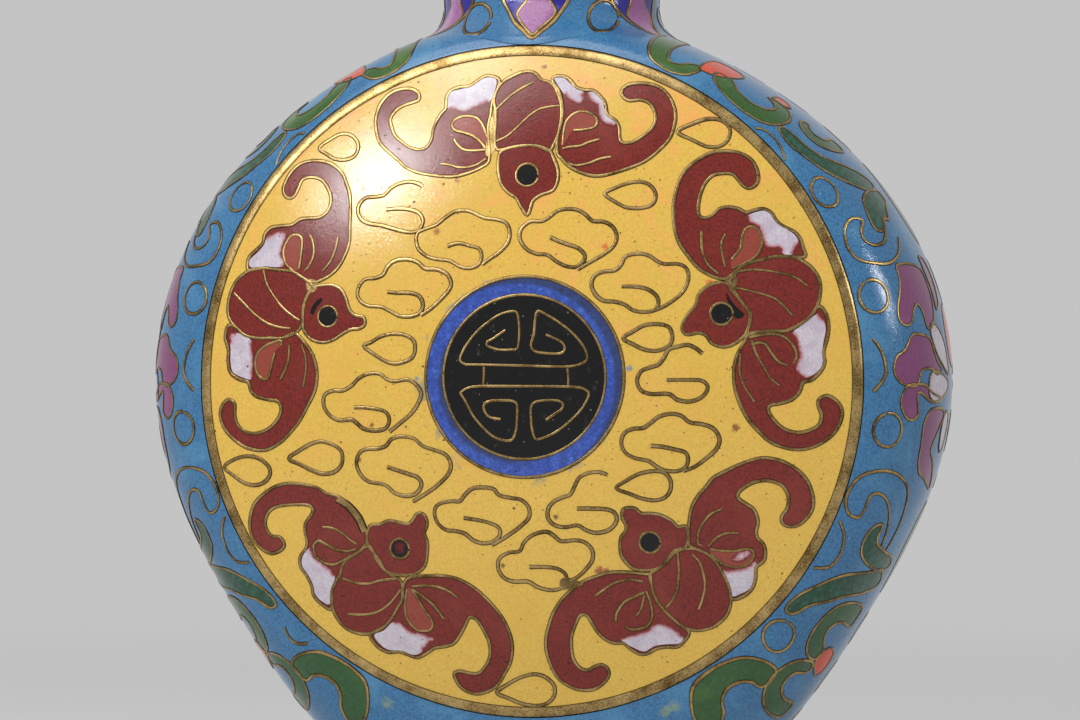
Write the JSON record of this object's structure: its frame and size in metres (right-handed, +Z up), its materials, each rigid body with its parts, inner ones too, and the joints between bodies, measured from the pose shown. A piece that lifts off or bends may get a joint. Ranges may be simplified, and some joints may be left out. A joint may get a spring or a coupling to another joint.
{
  "type": "vase",
  "caption": "Cloisonne moon-flask vase: flattened round body with a domed medallion on each face, round neck with a flared mouth, oval foot.",
  "frame": {"origin": "on the table under the foot, on the vase's vertical axis", "axes": "+Z up, the front medallion faces -Y, the wide sides point along X"},
  "size_m": [0.0894, 0.0442, 0.13],
  "materials": {
    "copper": "plain copper sheet, hidden under the enamel",
    "gilt": "gilt, softly polished, slightly grainy",
    "turquoise": "opaque glossy vitreous enamel",
    "yellow": "opaque glossy vitreous enamel with fine pits",
    "brick": "opaque glossy vitreous enamel",
    "lavender": "opaque glossy vitreous enamel",
    "black": "opaque glossy vitreous enamel",
    "cobalt": "opaque glossy vitreous enamel",
    "magenta": "opaque glossy vitreous enamel",
    "green": "opaque glossy vitreous enamel",
    "orange": "opaque glossy vitreous enamel",
    "mauve": "opaque glossy vitreous enamel",
    "deep_blue": "opaque glossy vitreous enamel"
  },
  "bodies": {
    "root": {"front_plate": "copper", "back_plate": "copper", "side_wall": "copper", "neck_tube": "copper", "mouth_rim": "gilt", "foot_ring": "gilt", "base_plate": "copper", "neck_lining": "turquoise", "base_lining": "turquoise", "front_band": "gilt", "front_field": "yellow", "front_bats": "brick", "front_wing_patches": "lavender", "front_eyes": "black", "front_bat_wires": "gilt", "front_cloud_wires": "gilt", "front_roundel_ring": "cobalt", "front_roundel_disc": "black", "front_roundel_wires": "gilt", "back_band": "gilt", "back_field": "yellow", "back_bats": "brick", "back_wing_patches": "lavender", "back_eyes": "black", "back_bat_wires": "gilt", "back_cloud_wires": "gilt", "back_roundel_ring": "cobalt", "back_roundel_disc": "black", "back_roundel_wires": "gilt", "side_ground": "turquoise", "lotus_petals": "magenta", "lotus_hearts": "lavender", "scroll_leaves": "green", "orange_buds": "orange", "side_wires": "gilt", "neck_ground": "turquoise", "neck_lappets": "mauve", "neck_cobalt": "deep_blue", "neck_wires": "gilt", "foot_ground": "turquoise"}
  },
  "joints": []
}
